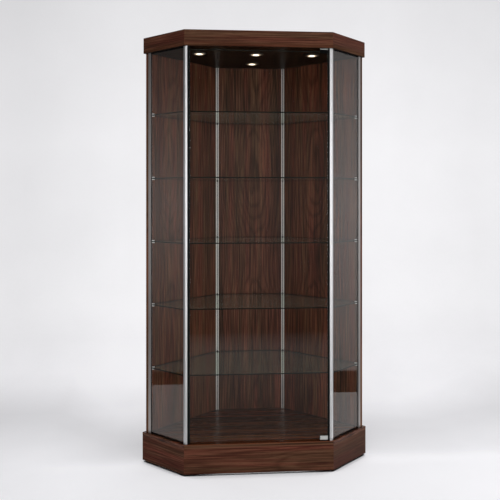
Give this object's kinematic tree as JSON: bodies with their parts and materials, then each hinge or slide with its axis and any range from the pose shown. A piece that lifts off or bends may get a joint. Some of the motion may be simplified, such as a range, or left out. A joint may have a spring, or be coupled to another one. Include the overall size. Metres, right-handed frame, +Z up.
{
  "type": "corner curio cabinet",
  "caption": "Tall corner display cabinet with glass sides, glass shelves, a pivoted glass door, aluminium uprights, wooden base and lit crown.",
  "frame": {"origin": "on the floor, under the middle of the cabinet's bounding box", "axes": "+Z up, +X to the right seen from the front, +Y back into the room corner; the door faces -Y"},
  "size_m": [1.061, 0.544, 1.98],
  "materials": {
    "walnut_laminate": "satin dark walnut laminate with fine open grain",
    "plain_board": "unfaced fibreboard",
    "aluminium": "polished anodised",
    "clear_glass": "clear tempered glass with polished edges",
    "satin_metal": "satin nickel plate",
    "black_metal": "satin black",
    "zinc_steel": "zinc plated",
    "black_rubber": "matt black rubber",
    "black_plastic": "matt black moulded plastic",
    "lamp_lens": "frosted diffuser",
    "led_board": "white circuit board"
  },
  "bodies": {
    "cabinet": {"levelling_feet": "zinc_steel", "foot_inserts": "zinc_steel", "base_corner_blocks": "plain_board", "base_front_board": "walnut_laminate", "base_right_side_board": "walnut_laminate", "base_right_wall_board": "walnut_laminate", "base_back_board": "walnut_laminate", "base_left_wall_board": "walnut_laminate", "base_left_side_board": "walnut_laminate", "base_deck": "walnut_laminate", "front_right_upright": "aluminium", "front_left_upright": "aluminium", "outer_right_upright": "aluminium", "outer_left_upright": "aluminium", "back_right_upright": "aluminium", "back_left_upright": "aluminium", "right_wall_panel": "walnut_laminate", "left_wall_panel": "walnut_laminate", "back_panel": "walnut_laminate", "right_side_glass": "clear_glass", "left_side_glass": "clear_glass", "side_glass_gaskets": "black_rubber", "wall_panel_screws": "zinc_steel", "upright_screws": "zinc_steel", "glass_shelf_1": "clear_glass", "shelf_clips_1": "satin_metal", "glass_shelf_2": "clear_glass", "shelf_clips_2": "satin_metal", "glass_shelf_3": "clear_glass", "shelf_clips_3": "satin_metal", "glass_shelf_4": "clear_glass", "shelf_clips_4": "satin_metal", "glass_shelf_5": "clear_glass", "shelf_clips_5": "satin_metal", "hinge_bushes": "black_plastic", "right_door_seal": "black_rubber", "left_door_seal": "black_rubber", "ceiling_board": "walnut_laminate", "crown_front_board": "walnut_laminate", "crown_right_side_board": "walnut_laminate", "crown_right_wall_board": "walnut_laminate", "crown_back_board": "walnut_laminate", "crown_left_wall_board": "walnut_laminate", "crown_left_side_board": "walnut_laminate", "crown_top_board": "plain_board", "downlight_bezels": "satin_metal", "downlight_lenses": "lamp_lens", "downlight_housings": "black_metal", "downlight_led_boards": "led_board", "lamp_distributor": "black_plastic", "lamp_leads": "black_plastic", "power_inlet": "black_plastic"},
    "door": {"door_glass": "clear_glass", "bottom_hinge_clamp": "satin_metal", "top_hinge_clamp": "black_metal", "top_hinge_cover": "satin_metal", "hinge_pads": "black_rubber", "hinge_pins": "zinc_steel", "hinge_set_screws": "zinc_steel"}
  },
  "joints": [
    {"name": "door_hinge", "type": "hinge", "parent": "cabinet", "child": "door", "pos_m": [0.29777, -0.257, 1.023], "axis": [0, 0, 1], "range_deg": [0, 110]}
  ]
}
